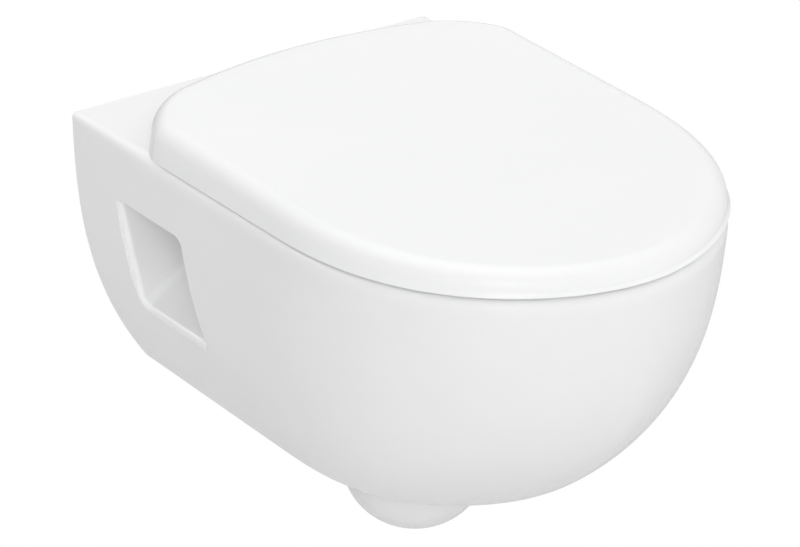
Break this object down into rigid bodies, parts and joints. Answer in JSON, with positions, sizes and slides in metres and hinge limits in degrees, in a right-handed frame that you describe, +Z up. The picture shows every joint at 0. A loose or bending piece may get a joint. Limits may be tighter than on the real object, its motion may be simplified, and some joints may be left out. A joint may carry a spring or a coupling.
{
  "type": "wall hung toilet",
  "caption": "Skirted wall hung toilet pan in glazed ceramic with a hand recess in each side, a wrap over lid and a soft closing seat on lift off hinges.",
  "frame": {"origin": "on the wall plane, midway between the two wall studs", "axes": "+Y into the wall, -Y towards the front of the pan, +Z up, +X to the right seen from the front"},
  "size_m": [0.3626, 0.56, 0.3731],
  "materials": {
    "glaze": "gloss",
    "seat_plastic": "gloss",
    "steel": "satin",
    "polished_steel": "polished",
    "grey_plastic": "matte",
    "white_plastic": "matte",
    "rubber": "matte",
    "pale_rubber": "matte"
  },
  "bodies": {
    "pan": {"pan_skirt": "glaze", "pan_back": "glaze", "pan_back_left": "glaze", "pan_back_right": "glaze", "pan_bowl": "glaze", "pan_trap": "glaze", "pan_flush_way": "glaze", "pan_recess_left": "glaze", "pan_recess_right": "glaze", "wall_stud_left": "steel", "wall_stud_right": "steel", "stud_sleeve_left": "grey_plastic", "stud_sleeve_right": "grey_plastic", "stud_washer_left": "steel", "stud_washer_right": "steel", "stud_nut_left": "steel", "stud_nut_right": "steel", "nut_cap_left": "white_plastic", "nut_cap_right": "white_plastic", "inlet_seal": "rubber", "outlet_seal": "rubber", "hinge_rosette_left": "polished_steel", "hinge_rosette_right": "polished_steel", "seat_stud_left": "steel", "seat_stud_right": "steel", "rubber_cone_left": "rubber", "rubber_cone_right": "rubber", "stud_cup_washer_left": "white_plastic", "stud_cup_washer_right": "white_plastic", "wing_nut_left": "white_plastic", "wing_nut_right": "white_plastic"},
    "hinge_set": {"hinge_post_left": "polished_steel", "hinge_post_right": "polished_steel", "hinge_pin_left": "steel", "hinge_pin_right": "steel"},
    "release_button_left": {"release_button_left": "polished_steel"},
    "release_button_right": {"release_button_right": "polished_steel"},
    "seat": {"seat_ring": "seat_plastic", "seat_damper": "grey_plastic", "seat_bush": "white_plastic", "seat_buffer_front_left": "pale_rubber", "seat_buffer_front_right": "pale_rubber", "seat_buffer_rear_left": "pale_rubber", "seat_buffer_rear_right": "pale_rubber"},
    "lid": {"lid_shell": "seat_plastic", "lid_damper": "grey_plastic", "lid_bush": "white_plastic", "lid_buffer_left": "pale_rubber", "lid_buffer_right": "pale_rubber"}
  },
  "joints": [
    {"name": "seat_lift", "type": "slide", "parent": "pan", "child": "hinge_set", "axis": [0, 0, 1], "range_m": [0, 0.025]},
    {"name": "seat_hinge", "type": "hinge", "parent": "hinge_set", "child": "seat", "pos_m": [0, -0.07, 0.105], "axis": [-1, 0, 0], "range_deg": [0, 91]},
    {"name": "lid_hinge", "type": "hinge", "parent": "seat", "child": "lid", "pos_m": [0, -0.07, 0.105], "axis": [1, 0, 0], "range_deg": [-94, 0]},
    {"name": "button_left_press", "type": "slide", "parent": "hinge_set", "child": "release_button_left", "axis": [0, 1, 0], "range_m": [0, 0.002], "stiffness_N_per_m": 1500, "springref_m": -0.002},
    {"name": "button_right_press", "type": "slide", "parent": "hinge_set", "child": "release_button_right", "axis": [0, 1, 0], "range_m": [0, 0.002], "stiffness_N_per_m": 1500, "springref_m": -0.002}
  ]
}
